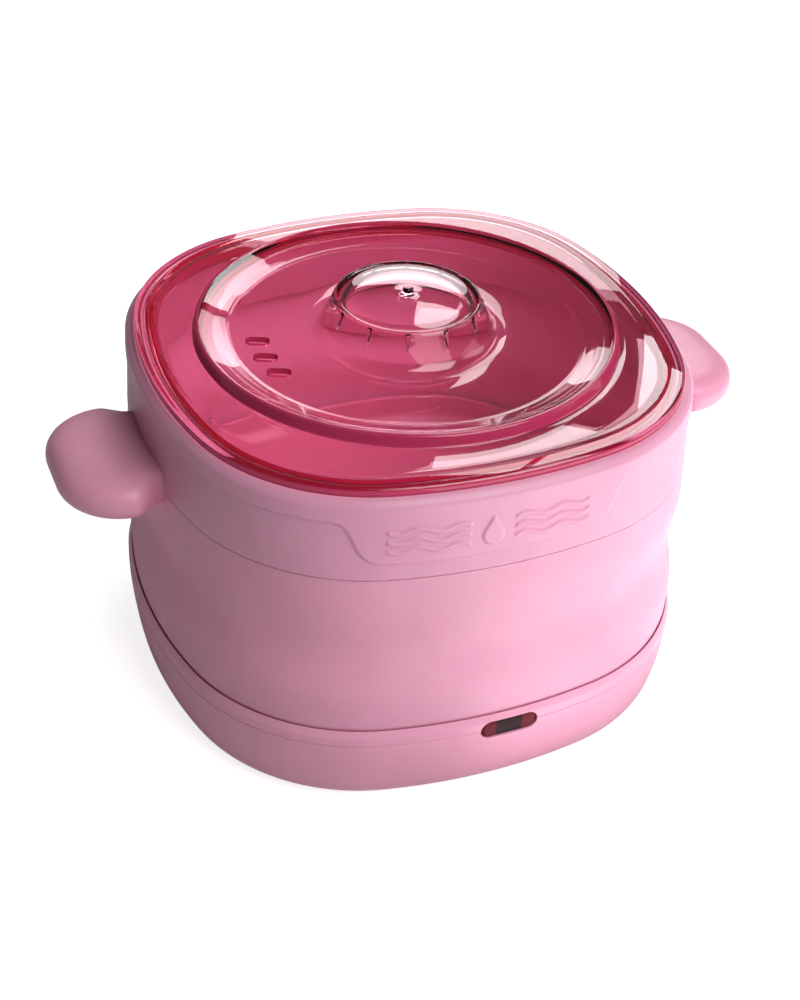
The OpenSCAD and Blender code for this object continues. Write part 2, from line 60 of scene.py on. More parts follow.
def box_mm(node):
    low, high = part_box(node)
    return low / MM, high / MM


# Driving sizes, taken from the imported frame
LID_HIGH = box_mm("lid")[1]
COLLAR_LOW, COLLAR_HIGH = box_mm("rim_collar")
RING_LOW, RING_HIGH = box_mm("base_ring")
PAN_HIGH = box_mm("heating_pan")[1]
WALL_LOW = box_mm("fold_wall")[0]
SHELL_LOW = box_mm("base_shell")[0]
FRAME_LOW, FRAME_HIGH = box_mm("rim_frame")
HANDLE_LOW, HANDLE_HIGH = box_mm("right_handle")
LENS_LOW, LENS_HIGH = box_mm("indicator_lens")

HALF_WIDTH = LID_HIGH.x
HALF_DEPTH = LID_HIGH.y
SIDE_RADIUS = 145
FRONT_RADIUS = 171
CORNER_RADIUS = 57.5
SIDE_GAP = SIDE_RADIUS - HALF_WIDTH
FRONT_GAP = FRONT_RADIUS - HALF_DEPTH

SEAM_Z = RING_LOW.z - 0.1
WALL_Z = RING_HIGH.z + 0.2
COLLAR_Z = COLLAR_LOW.z
RIM_Z = COLLAR_HIGH.z
STEP_Z = RIM_Z - 7
PLATE_Z = RIM_Z + 3
FLOOR_Z = SHELL_LOW.z
GASKET_TOP = WALL_LOW.z + 1

BASE_SWELL = 5.5
RING_TOP_SWELL = 4.6
WALL_SWELL = 3.9
WALL_THICK = 2.4
FOLD_DEPTH = 1.5
COLLAR_SWELL = 3.2
STEP_SWELL = 2.1
STEP_THICK = 0.6

RING_RADIUS = 65.0
KNOB_FOOT_RADIUS = 28.5
KNOB_FINS = 12
VENT_SIZE = (7.6, 3.8)
VENT_TURN = -22
VENTS = ((-46.3, 7), (-46.9, -2.9), (-45.7, -12.3))

BADGE_X = -5.5
BADGE_Z = 94
BADGE_WIDTH = 74

COARSE = {"side": 40, "rear_corner": 44, "rear": 56, "front_corner": 44, "front": 56}
FINE = {"side": 40, "rear_corner": 44, "rear": 56, "front_corner": 130, "front": 190}


# ---------------------------------------------------------------- outline and meshes

def corner_centre():
    """Centre of the corner arcs: it lies short of both side arcs by the corner radius."""
    span = math.hypot(SIDE_GAP, FRONT_GAP)
    side_reach = SIDE_RADIUS - CORNER_RADIUS
    front_reach = FRONT_RADIUS - CORNER_RADIUS
    part = (side_reach ** 2 - front_reach ** 2 + span ** 2) / (2 * span)
    rise = math.sqrt(side_reach ** 2 - part ** 2)
    return ((part * SIDE_GAP + rise * FRONT_GAP) / span - SIDE_GAP,
            (rise * SIDE_GAP - part * FRONT_GAP) / span)


CORNER_X, CORNER_Y = corner_centre()
SIDE_TURN = math.atan2(CORNER_Y, CORNER_X + SIDE_GAP)
FRONT_TURN = math.atan2(CORNER_Y + FRONT_GAP, CORNER_X)


def outline(offset, steps):
    """The pot's plan outline, offset outwards, as an array of points running anticlockwise."""
    turn, half = 2 * math.pi, math.pi
    arcs = [
        (-SIDE_GAP, 0, SIDE_RADIUS, -SIDE_TURN, SIDE_TURN, "side"),
        (CORNER_X, CORNER_Y, CORNER_RADIUS, SIDE_TURN, FRONT_TURN, "rear_corner"),
        (0, -FRONT_GAP, FRONT_RADIUS, FRONT_TURN, half - FRONT_TURN, "rear"),
        (-CORNER_X, CORNER_Y, CORNER_RADIUS, half - FRONT_TURN, half - SIDE_TURN, "rear_corner"),
        (SIDE_GAP, 0, SIDE_RADIUS, half - SIDE_TURN, half + SIDE_TURN, "side"),
        (-CORNER_X, -CORNER_Y, CORNER_RADIUS, half + SIDE_TURN, half + FRONT_TURN, "front_corner"),
        (0, FRONT_GAP, FRONT_RADIUS, half + FRONT_TURN, turn - FRONT_TURN, "front"),
        (CORNER_X, -CORNER_Y, CORNER_RADIUS, turn - FRONT_TURN, turn - SIDE_TURN, "front_corner"),
    ]
    points = []
    for x, y, radius, start, end, kind in arcs:
        angle = np.linspace(start, end, steps[kind], endpoint=False)
        reach = radius + offset
        points.append(np.c_[x + reach * np.cos(angle), y + reach * np.sin(angle)])
    return np.vstack(points)


def middle_plan():
    """A tiny outline in the middle of the pot, which closes a floor."""
    return outline(0, COARSE) * 0.02


def rounded(corners, steps=4):
    """A closed profile from (x, z, fillet) corners, each corner replaced by an arc."""
    count = len(corners)
    points = []
    for i, (x, z, fillet) in enumerate(corners):
        here = np.array([x, z], float)
        before = np.array(corners[i - 1][:2], float) - here
        after = np.array(corners[(i + 1) % count][:2], float) - here
        long_before, long_after = np.linalg.norm(before), np.linalg.norm(after)
        before, after = before / long_before, after / long_after
        spread = math.acos(max(-1, min(1, float(before @ after))))
        if fillet <= 0 or spread > math.pi - 0.05:
            points.append(here)
            continue
        cut = min(fillet / math.tan(spread / 2), 0.45 * long_before, 0.45 * long_after)
        for k in range(steps + 1):
            t = k / steps
            curve = (1 - t) ** 2 * before * cut + t ** 2 * after * cut
            points.append(here + curve)
    return np.array(points)


def add_mesh(name, verts, faces, materials, body, smooth=True):
    """Makes an object from points in millimetres and lets it ride on a body."""
    mesh = bpy.data.meshes.new(name)
    mesh.from_pydata([tuple(v) for v in np.asarray(verts) * MM], [], faces)
    mesh.validate()
    tidy_normals(mesh)
    if smooth:
        mesh.shade_smooth()
    piece = bpy.data.objects.new(name, mesh)
    bpy.context.scene.collection.objects.link(piece)
    for material in materials:
        mesh.materials.append(material)
    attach(piece, body)
    return piece


def tidy_normals(mesh):
    """Merges points that coincide and turns every face outwards."""
    work = bmesh.new()
    work.from_mesh(mesh)
    bmesh.ops.remove_doubles(work, verts=work.verts, dist=1e-7)
    bmesh.ops.recalc_face_normals(work, faces=work.faces)
    work.to_mesh(mesh)
    work.free()


def grid_faces(rows, columns, close_rows):
    """Quads between consecutive rings; a ring is always closed, and the rings may close on themselves."""
    faces = []
    for j in range(rows if close_rows else rows - 1):
        up = ((j + 1) % rows) * columns
        for i in range(columns):
            nxt = (i + 1) % columns
            faces.append((j * columns + i, j * columns + nxt, up + nxt, up + i))
    return faces


def swept_ring(name, profile, material, body, steps=COARSE, shift=None):
    """A closed profile of (offset, height) swept round the outline."""
    rings = []
    for offset, z in profile:
        plan = outline(offset, steps)
        ring = np.c_[plan, np.full(len(plan), z)]
        rings.append(ring if shift is None else shift(ring, offset))
    verts = np.vstack(rings)
    return add_mesh(name, verts, grid_faces(len(rings), len(rings[0]), True), [material], body)


def cut_away(piece, cutters):
    """Takes the cutters' volume out of a piece."""
    for cutter in cutters:
        cut = piece.modifiers.new("cut", "BOOLEAN")
        cut.operation = "DIFFERENCE"
        cut.solver = "EXACT"
        cut.object = cutter
    apply_modifiers(piece)
    for cutter in cutters:
        bpy.data.objects.remove(cutter)


def apply_modifiers(piece):
    """Keeps the mesh that the modifiers make, and drops the modifiers."""
    bpy.context.view_layer.update()
    final = bpy.data.meshes.new_from_object(piece.evaluated_get(bpy.context.evaluated_depsgraph_get()))
    piece.modifiers.clear()
    old = piece.data
    piece.data = final
    final.name = old.name
    bpy.data.meshes.remove(old)


def sharpen(piece, degrees=35):
    """Smooth shading that stops at edges sharper than the given angle."""
    piece.data.shade_smooth()
    piece.data.set_sharp_from_angle(angle=math.radians(degrees))


def prism(points, z0, z1):
    """A throwaway solid: plan points in millimetres, extruded from z0 to z1."""
    count = len(points)
    verts = [(x * MM, y * MM, z * MM) for z in (z0, z1) for x, y in points]
    faces = [tuple(range(count))[::-1], tuple(range(count, 2 * count))]
    faces += [(i, (i + 1) % count, count + (i + 1) % count, count + i) for i in range(count)]
    mesh = bpy.data.meshes.new("cutter")
    mesh.from_pydata(verts, [], faces)
    tidy_normals(mesh)
    cutter = bpy.data.objects.new("cutter", mesh)
    bpy.context.scene.collection.objects.link(cutter)
    return cutter


def pill(width, height, x=0, y=0, steps=10):
    """Plan points of a pill shape."""
    points = []
    for side in (1, -1):
        for k in range(steps + 1):
            angle = math.radians(-90 + 180 * k / steps) + (0 if side > 0 else math.pi)
            points.append((x + side * (width - height) / 2 + height / 2 * math.cos(angle),
                           y + height / 2 * math.sin(angle)))
    return points


def disc(radius, x=0, y=0, steps=24):
    """Plan points of a circle."""
    return [(x + radius * math.cos(t), y + radius * math.sin(t))
            for t in np.linspace(0, 2 * np.pi, steps, endpoint=False)]


def turned(points, x, y, degrees):
    """Plan points turned about their own middle and moved to a place."""
    c, s = math.cos(math.radians(degrees)), math.sin(math.radians(degrees))
    return [(x + c * px - s * py, y + s * px + c * py) for px, py in points]


# ---------------------------------------------------------------- materials

class Nodes:
    """Small helper that adds and links shader nodes."""

    def __init__(self, name):
        self.material = bpy.data.materials.new(name)
        self.material.use_nodes = True
        self.tree = self.material.node_tree
        self.tree.nodes.clear()
        self.out = self.add("ShaderNodeOutputMaterial")
        self.place = self.add("ShaderNodeTexCoord").outputs["Object"]

    def add(self, kind, **inputs):
        node = self.tree.nodes.new(kind)
        for key, value in inputs.items():
            self.put(node, key.replace("_", " "), value)
        return node

    def put(self, node, socket, value):
        if isinstance(value, bpy.types.NodeSocket):
            self.tree.links.new(value, node.inputs[socket])
        else:
            node.inputs[socket].default_value = value

    def noise(self, scale, detail=3.0, roughness=0.5):
        return self.add("ShaderNodeTexNoise", Vector=self.place, Scale=scale, Detail=detail,
                        Roughness=roughness).outputs["Fac"]

    def spread(self, value, low, high, start=0.3, end=0.7):
        node = self.add("ShaderNodeMapRange", Value=value)
        self.put(node, "From Min", start)
        self.put(node, "From Max", end)
        self.put(node, "To Min", low)
        self.put(node, "To Max", high)
        return node.outputs["Result"]

    def blend(self, factor, first, second):
        node = self.add("ShaderNodeMix")
        node.data_type = "RGBA"
        self.put(node, 0, factor)
        self.put(node, 6, (*first, 1))
        self.put(node, 7, (*second, 1))
        return node.outputs[2]

    def bump(self, height, strength, distance):
        return self.add("ShaderNodeBump", Height=height, Strength=strength,
                        Distance=distance).outputs["Normal"]


def scaled(colour, factor):
    return tuple(min(1.0, c * factor) for c in colour)


def moulded(name, colour, low_rough, high_rough, grain=2600, bump=0.12, mottling=0.05,
            specular=0.5, sheen=0.0, glow=0.0, coat=0.0, metal=0.0):
    """Moulded plastic, silicone or metal: mottled colour, uneven gloss and a fine surface grain."""
    n = Nodes(name)
    patches = n.spread(n.noise(28, 4), 0, 1)
    base = n.blend(patches, scaled(colour, 1 - mottling), scaled(colour, 1 + mottling))
    rough = n.spread(n.noise(140, 5), low_rough, high_rough)
    normal = n.bump(n.noise(grain, 2), bump, 0.0002)
    shader = n.add("ShaderNodeBsdfPrincipled", Roughness=rough, Normal=normal, Metallic=metal)
    n.put(shader, "Base Color", base)
    n.put(shader, "Specular IOR Level", specular)
    n.put(shader, "Sheen Weight", sheen)
    n.put(shader, "Sheen Roughness", 0.4)
    n.put(shader, "Sheen Tint", (*scaled(colour, 1.2), 1))
    n.put(shader, "Subsurface Weight", glow)
    n.put(shader, "Subsurface Radius", (0.012, 0.003, 0.004))
    n.put(shader, "Subsurface Scale", 1.0)
    n.put(shader, "Coat Weight", coat)
    n.put(shader, "Coat Roughness", 0.12)
    n.tree.links.new(shader.outputs[0], n.out.inputs["Surface"])
    return n.material


def clear_moulding(name, tint, lamp_tint, absorb, density, clear=1.0, ior=1.47):
    """Clear tinted moulding that darkens where it is seen edge-on and lets lamps through."""
    n = Nodes(name)
    rough = n.spread(n.noise(60, 3), 0.0, 0.015)
    normal = n.bump(n.noise(22, 1), 0.04, 0.0006)
    glass = n.add("ShaderNodeBsdfPrincipled", Roughness=rough, Normal=normal)
    n.put(glass, "Base Color", (*tint, 1))
    n.put(glass, "Transmission Weight", clear)
    n.put(glass, "IOR", ior)
    lamp = n.add("ShaderNodeBsdfTransparent", Color=(*lamp_tint, 1))
    path = n.add("ShaderNodeLightPath").outputs["Is Shadow Ray"]
    mix = n.add("ShaderNodeMixShader")
    n.tree.links.new(path, mix.inputs[0])
    n.tree.links.new(glass.outputs[0], mix.inputs[1])
    n.tree.links.new(lamp.outputs[0], mix.inputs[2])
    n.tree.links.new(mix.outputs[0], n.out.inputs["Surface"])
    volume = n.add("ShaderNodeVolumeAbsorption", Color=(*absorb, 1), Density=density)
    n.tree.links.new(volume.outputs[0], n.out.inputs["Volume"])
    return n.material


def dark_window(name, mid_x, half_width):
    """Dark red glossy lens with a darker rectangle behind its middle."""
    n = Nodes(name)
    x = n.add("ShaderNodeSeparateXYZ", Vector=n.place).outputs["X"]
    away = n.add("ShaderNodeMath")
    away.operation = "SUBTRACT"
    n.put(away, 0, x)
    n.put(away, 1, mid_x * MM)
    size = n.add("ShaderNodeMath")
    size.operation = "ABSOLUTE"
    n.put(size, 0, away.outputs[0])
    clear = n.spread(size.outputs[0], 0, 1, half_width * MM, (half_width + 0.5) * MM)
    base = n.blend(clear, (0.018, 0.001, 0.003), (0.13, 0.003, 0.014))
    rough = n.spread(n.noise(300, 3), 0.16, 0.26)
    normal = n.bump(n.noise(900, 2), 0.03, 0.0001)
    shader = n.add("ShaderNodeBsdfPrincipled", Roughness=rough, Normal=normal)
    n.put(shader, "Base Color", base)
    n.put(shader, "Specular IOR Level", 0.12)
    n.tree.links.new(shader.outputs[0], n.out.inputs["Surface"])
    return n.material


SKIN = (0.76, 0.33, 0.47)
MATERIALS = {
    "collar": moulded("silicone_collar", SKIN, 0.36, 0.46, glow=0.2, sheen=0.1),
    "wall": moulded("silicone_wall", SKIN, 0.38, 0.48, glow=0.08, sheen=0.1),
    "handle": moulded("silicone_handle", SKIN, 0.34, 0.44, glow=0.2, sheen=0.1),
    "base": moulded("base_plastic", scaled(SKIN, 1.04), 0.3, 0.4, grain=3400, bump=0.06),
    "frame": moulded("frame_plastic", (0.62, 0.2, 0.32), 0.3, 0.42),
    "pan": moulded("pan_coating", (0.68, 0.24, 0.36), 0.32, 0.45, grain=4200, coat=0.1),
    "feet": moulded("foot_rubber", (0.09, 0.06, 0.07), 0.6, 0.8, bump=0.3),
    "steel": moulded("steel", (0.62, 0.63, 0.66), 0.28, 0.42, metal=1.0),
    "mica": moulded("mica", (0.3, 0.24, 0.14), 0.35, 0.6, mottling=0.2),
    "felt": moulded("insulation", (0.8, 0.77, 0.7), 0.85, 0.95, grain=900, bump=0.6),
    "board": moulded("board_green", (0.03, 0.16, 0.08), 0.3, 0.4),
    "parts": moulded("parts_dark", (0.05, 0.055, 0.06), 0.4, 0.55),
    "ceramic": moulded("ceramic", (0.8, 0.74, 0.55), 0.12, 0.2),
    "wire": moulded("wire_cover", (0.55, 0.48, 0.4), 0.45, 0.6),
    "inlet": moulded("inlet_black", (0.016, 0.016, 0.018), 0.34, 0.48, bump=0.25),
    "brass": moulded("brass", (0.75, 0.55, 0.25), 0.2, 0.34, metal=1.0),
    "selector": moulded("selector_grey", (0.07, 0.075, 0.08), 0.4, 0.55),
    "dial": moulded("dial_pink", (0.8, 0.4, 0.53), 0.24, 0.34, coat=0.3),
    "led": moulded("led_dark", (0.05, 0.008, 0.012), 0.15, 0.25),
    "lid": clear_moulding("lid_clear", (0.97, 0.86, 0.92), (0.9, 0.68, 0.79), (0.93, 0.3, 0.48), 110),
    # The second lid material is a mostly opaque deep crimson: painted edge glow that stands in for the light
    # caught in the lid's upright edges.
    "lid_painted_edge_glow": clear_moulding("lid_painted_edge_glow", (0.66, 0.05, 0.15), (0.8, 0.3, 0.4), (0.93, 0.3, 0.48), 110,
                               clear=0.25),
    "lens": dark_window("lens_red", (LENS_LOW.x + LENS_HIGH.x) / 2, 4.2),
}
NODE_LOOKS = {
    "handle_screws": "steel", "base_screws": "steel", "pan_screws": "steel", "heating_element": "mica",
    "insulation_disc": "felt", "clamp_plate": "steel", "clamp_nuts": "steel", "temperature_sensor": "steel",
    "thermal_fuse": "ceramic", "fuse_clip": "steel", "control_board": "board", "board_parts": "parts",
    "board_screws": "steel", "heater_wires": "wire", "supply_wires": "wire", "led_board": "board",
    "status_leds": "led", "led_wires": "wire", "power_inlet": "inlet", "inlet_pins": "brass",
    "heat_selector": "selector", "selector_nut": "steel", "selector_wires": "wire", "dial_shaft": "steel",
    "heat_dial": "dial", "rubber_feet": "feet", "lid": "lid", "rim_collar": "collar", "rim_frame": "frame",
    "left_handle": "handle", "right_handle": "handle", "fold_wall": "wall", "base_ring": "base",
    "base_shell": "base", "heating_pan": "pan", "indicator_lens": "lens",
}
for node_name, look in NODE_LOOKS.items():
    data = frame["nodes"][node_name].data
    data.materials.clear()
    data.materials.append(MATERIALS[look])


# ---------------------------------------------------------------- lid

def lid_section():
    """Top and underside of the lid's section, as rows that run inwards and then back out.

    A row is (share of circle, outline offset, circle radius, height)."""
    ring = RING_RADIUS
    crest = LID_HIGH.z - 11
    disc = PLATE_Z + 1
    knob_foot = KNOB_FOOT_RADIUS
    rim = LID_HIGH.z - 3
    nub = LID_HIGH.z
    rows = []

    def edge(offset, z):
        rows.append((0, offset, 0, z))

    def circle(radius, z):
        rows.append((1, 0, radius, z))

    def between(share, offset, radius, z):
        rows.append((share, offset, radius, z))

    # outside edge, rounded over to the plate
    edge(-0.2, RIM_Z)
    edge(0, RIM_Z + 0.25)
    edge(0, PLATE_Z - 1.6)
    for k in range(1, 6):
        angle = math.radians(18 * k)
        edge(-1.4 + 1.4 * math.cos(angle), PLATE_Z - 1.6 + 1.4 * math.sin(angle))
    edge(-4.6, PLATE_Z + 0.05)
    # small step up over the skirt, then the flange
    edge(-5.0, PLATE_Z + 0.1)
    edge(-5.4, PLATE_Z + 0.45)
    edge(-5.9, PLATE_Z + 0.55)
    for k in range(1, 8):
        share = k / 8
        between(share, -5.9, ring + 1.9, PLATE_Z + 0.55 + 0.25 * share)
    # riser, crest and the sloping band inside it
    circle(ring + 1.9, PLATE_Z + 0.8)
    circle(ring + 1.5, PLATE_Z + 1.0)
    circle(ring + 1.15, PLATE_Z + 1.5)
    circle(ring + 0.8, crest - 0.8)
    circle(ring + 0.5, crest - 0.25)
    circle(ring, crest)
    circle(ring - 0.6, crest - 0.05)
    circle(ring - 1.2, crest - 0.35)
    circle(ring - 5, crest - 1.6)
    circle(ring - 8.6, disc + 0.45)
    circle(ring - 9.6, disc + 0.1)
    circle(ring - 11, disc)
    circle(38, disc)
    circle(32, disc + 0.1)
    # knob
    circle(knob_foot + 1.4, disc + 0.35)
    circle(knob_foot, disc + 0.9)
    circle(knob_foot - 1.2, disc + 1.9)
    for k in range(0, 9):
        share = k / 8
        circle(knob_foot - 2 - 3.3 * share, disc + 3 + (rim - 1 - disc - 3) * share)
    circle(22.9, rim - 0.5)
    circle(22.5, rim - 0.1)
    circle(21.9, rim)
    circle(21.2, rim - 0.15)
    circle(20.2, rim - 0.2)
    for k in range(1, 7):
        share = k / 7
        circle(20.2 - 17.6 * share, rim - 0.2 + 1.6 * math.sin(share * math.pi / 2))
    circle(2.1, rim + 1.5)
    circle(1.6, rim + 1.8)
    circle(1.4, nub - 0.5)
    circle(1.0, nub - 0.1)
    circle(0.4, nub)
    top = list(rows)
    rows.clear()
    # underside
    circle(0.4, rim - 0.6)
    circle(8, rim - 0.8)
    circle(16, rim - 1.5)
    circle(19.2, rim - 2.1)
    circle(20.6, rim - 3)
    circle(knob_foot - 4, disc + 1.2)
    circle(knob_foot - 2.6, disc - 0.6)
    circle(knob_foot - 0.6, disc - 1.6)
    circle(knob_foot + 2.4, disc - 1.95)
    circle(34, disc - 2)
    circle(ring - 11, disc - 2)
    circle(ring - 9.2, disc - 1.8)
    circle(ring - 5, crest - 3.4)
    circle(ring - 1.6, crest - 2.2)
    circle(ring - 0.9, crest - 2.4)
    circle(ring - 0.2, PLATE_Z - 0.3)
    circle(ring + 0.4, PLATE_Z - 0.95)
    circle(ring + 1.4, PLATE_Z - 1.2)
    for k in range(7, 0, -1):
        share = k / 8
        between(share, -7.6, ring + 1.4, PLATE_Z - 1.45 + 0.25 * share)
    edge(-7.4, PLATE_Z - 1.5)
    # skirt that drops inside the rim
    edge(-6.6, PLATE_Z - 1.9)
    edge(-6.2, PLATE_Z - 2.6)
    edge(-6.0, RIM_Z - 4.4)
    edge(-5.7, RIM_Z - 5.0)
    edge(-5.0, RIM_Z - 5.2)
    edge(-4.4, RIM_Z - 4.9)
    edge(-4.2, RIM_Z - 4.3)
    edge(-4.2, PLATE_Z - 2.6)
    edge(-3.9, PLATE_Z - 2.1)
    edge(-3.3, PLATE_Z - 2.0)
    edge(-2.4, PLATE_Z - 2.1)
    edge(-2.0, PLATE_Z - 2.5)
    edge(-1.9, RIM_Z + 0.3)
    edge(-1.6, RIM_Z)
    return top, list(rows)


def build_lid():
    """The clear lid, blended from the pot's outline at its edge to circles at its ring and knob."""
    top, under = lid_section()
    steps = COARSE
    base = outline(0, steps)
    angle = np.arctan2(base[:, 1], base[:, 0])
    round_way = np.c_[np.cos(angle), np.sin(angle)]
    rings = []
    for share, offset, radius, z in top + under:
        reach = np.full(len(angle), float(radius))
        plan = (1 - share) * outline(offset, steps) + share * reach[:, None] * round_way
        rings.append(np.c_[plan, np.full(len(plan), z)])
    columns = len(angle)
    verts = np.vstack(rings)
    faces = grid_faces(len(rings), columns, True)
    last_top = (len(top) - 1) * columns
    first_under = len(top) * columns
    faces = [f for f in faces if not (last_top <= f[0] < last_top + columns)]
    faces.append(tuple(range(last_top, last_top + columns)))
    faces.append(tuple(range(first_under, first_under + columns))[::-1])
    lid = add_mesh("clear_lid", verts, faces, [MATERIALS["lid"]], "lid")
    slots = [prism(turned(pill(*VENT_SIZE), x, y, VENT_TURN), PLATE_Z - 3, PLATE_Z + 4) for x, y in VENTS]
    cut_away(lid, slots)
    # Upright faces at the riser, the outer rim edge and the vent walls take the deep crimson material:
    # painted edge glow.
    lid.data.materials.append(MATERIALS["lid_painted_edge_glow"])
    for face in lid.data.polygons:
        reach = math.hypot(face.center.x, face.center.y) / MM
        z = face.center.z / MM
        upright = abs(face.normal.z) < 0.5
        at_slot = reach < RING_RADIUS - 10 and abs(face.normal.z) < 0.1 and abs(z - PLATE_Z) < 1.2
        at_riser = RING_RADIUS - 0.8 < reach < RING_RADIUS + 1.6 and z > PLATE_Z + 1
        at_rim = reach > 75 and z < PLATE_Z and face.normal.z > -0.2
        if at_riser or upright and (at_slot or at_rim):
            face.material_index = 1
    sharpen(lid, 40)
    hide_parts("lid")
    return lid


def build_knob_fins():
    """Twelve small grip fins under the knob's rim."""
    rim = LID_HIGH.z - 3
    section = ((22.6, rim - 0.3, 0.9), (23.5, rim - 0.7, 0.5), (24.6, rim - 5.6, 0.1), (23.4, rim - 5.8, 0.3))
    verts, faces = [], []
    for i in range(KNOB_FINS):
        a = math.radians(360 / KNOB_FINS * i + 9)
        out = np.array([math.cos(a), math.sin(a), 0])
        across = np.array([-math.sin(a), math.cos(a), 0])
        start = len(verts)
        for r, z, w in section:
            for side in (-1, 1):
                verts.append(out * r + across * w * side + np.array([0, 0, z]))
        for f in ((0, 1, 3, 2), (2, 3, 5, 4), (4, 5, 7, 6), (6, 7, 1, 0), (0, 2, 4, 6), (1, 7, 5, 3)):
            faces.append(tuple(start + k for k in f))
    fins = add_mesh("knob_fins", verts, faces, [MATERIALS["lid"]], "lid", smooth=False)
    round_edges(fins, 0.12)
    return fins


def round_edges(piece, width_mm, segments=2, degrees=28):
    """Rounds every edge sharper than the given angle."""
    bevel = piece.modifiers.new("round", "BEVEL")
    bevel.width = width_mm * MM
    bevel.segments = segments
    bevel.limit_method = "ANGLE"
    bevel.angle_limit = math.radians(degrees)
    bevel.use_clamp_overlap = True
    apply_modifiers(piece)
    sharpen(piece, 50)


# ---------------------------------------------------------------- rim

def smoothstep(x):
    """Soft step from 0 to 1."""
    x = np.clip(x, 0, 1)
    return x * x * (3 - 2 * x)


def tongue_lift(x, z):
    """How far the collar's raised strip and its badge tongue stand out at a point on the front, 0 to 1."""
    half = BADGE_WIDTH / 2
    side = np.abs(x - BADGE_X)
    slope = 0.9 * (z - BADGE_Z) / (STEP_Z - BADGE_Z) * 6
    radius = 5
    dx = side - (half + slope - radius)
    dz = (BADGE_Z + radius) - z
    tongue = np.hypot(np.maximum(dx, 0), np.maximum(dz, 0)) + np.minimum(np.maximum(dx, dz), 0) - radius
    strip = STEP_Z - z
    blend = 4.0
    h = np.clip(0.5 + 0.5 * (strip - tongue) / blend, 0, 1)
    distance = strip * (1 - h) + tongue * h - blend * h * (1 - h)
    return smoothstep(0.5 - distance / 0.9)


def badge_pattern(x, z):
    """A wax drop between rippling lines, as a raised height from 0 to 1."""
    mid = (BADGE_Z + STEP_Z) / 2 + 0.8
    u, w = x - BADGE_X, z - mid
    circle = np.hypot(u, w + 1.4) - 3.2
    slant = (np.abs(u) * 0.86 + (w - 5.0) * 0.5)
    drop = np.minimum(circle, np.maximum(slant, -(w + 0.2)))
    lift = smoothstep(0.5 - drop / 0.5)
    ripple_length = BADGE_WIDTH / 2 - 13
    along = np.abs(u) - 6.8
    inside = smoothstep(along / 0.5 + 0.5) * smoothstep((ripple_length - along) / 0.5 + 0.5)
    for row in (-1, 0, 1):
        wave = w - 3.2 * row - 0.8 * np.sin(along / ripple_length * 4 * np.pi)
        lift = np.maximum(lift, smoothstep(0.5 - (np.abs(wave) - 0.55) / 0.5) * inside)
    return lift


def build_collar():
    """The silicone sleeve of the rim, with its raised strip, tongue and relief."""
    outer = [(0.2, COLLAR_Z + 0.3), (0.5, COLLAR_Z), (COLLAR_SWELL - 0.7, COLLAR_Z),
             (COLLAR_SWELL - 0.2, COLLAR_Z + 0.15), (COLLAR_SWELL, COLLAR_Z + 0.6)]
    rise = np.linspace(COLLAR_Z + 0.9, RIM_Z - 2.4, 74)
    share = (rise - COLLAR_Z) / (RIM_Z - COLLAR_Z)
    skin = COLLAR_SWELL - (COLLAR_SWELL - STEP_SWELL) * share
    outer += list(zip(skin, rise))
    last = skin[-1]
    for k in range(1, 8):
        angle = math.radians(90 * k / 7)
        outer.append((last - 2.6 + 2.6 * math.cos(angle), RIM_Z - 2.4 + 2.4 * math.sin(angle)))
    outer += [(-2.6, RIM_Z), (-3.1, RIM_Z - 0.3), (-3.2, RIM_Z - 2.1), (0.2, RIM_Z - 2.1)]

    def shift(ring, offset):
        z = ring[0, 2]
        if offset < 1 or z < COLLAR_Z + 0.5:
            return ring
        on_front = smoothstep((-ring[:, 1] - 40) / 10)
        far_away = np.full(len(ring), 200.0)
        lift = np.where(on_front > 0, tongue_lift(ring[:, 0], z), tongue_lift(far_away, z))
        badge = badge_pattern(ring[:, 0], z) * on_front
        fade = smoothstep((RIM_Z - 0.6 - z) / 2)
        plan = outline(offset, FINE)
        lifted = outline(offset + 1, FINE)
        amount = (STEP_THICK * lift + 0.5 * badge) * fade
        ring[:, :2] = plan + (lifted - plan) * amount[:, None]
        return ring

    collar = swept_ring("collar_sleeve", outer, MATERIALS["collar"], "rim", FINE, shift)
    sharpen(collar, 60)
    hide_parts("rim_collar")
    return collar


def build_rim_frame():
    """The stiff ring inside the collar."""
    inside, outside = -3.2, 0.2
    profile = rounded([(inside, FRAME_LOW.z, 0.5), (outside, FRAME_LOW.z, 0.4),
                       (outside, FRAME_HIGH.z, 0.2), (inside, FRAME_HIGH.z, 0.2)])
    ring = swept_ring("rim_support", profile, MATERIALS["frame"], "rim")
    sharpen(ring, 50)
    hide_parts("rim_frame")
    return ring


def handle_plan(inset, root_x):
    """Plan of the right handle shrunk by an inset: a narrow neck, then a broad rounded lobe."""
    tip = HANDLE_HIGH.x - inset
    half = HANDLE_HIGH.y - inset
    lobe = 20.0 - inset
    neck = HANDLE_HIGH.y - 6.5 - 0.45 * inset
    widest_x = HANDLE_HIGH.x - 20.0
    centre_y = half - lobe
    upper = []
    for k in range(15):
        t = k / 14
        upper.append((root_x + (widest_x - root_x) * t,
                      neck + (half - neck) * smoothstep((t - 0.12) / 0.88)))
    for k in range(1, 25):
        angle = math.radians(90 - 90 * k / 24)
        upper.append((widest_x + (tip - widest_x) * math.cos(angle),
                      centre_y + (half - centre_y) * math.sin(angle)))
    lower = [(x, -y) for x, y in upper]
    return np.array(lower + upper[::-1])


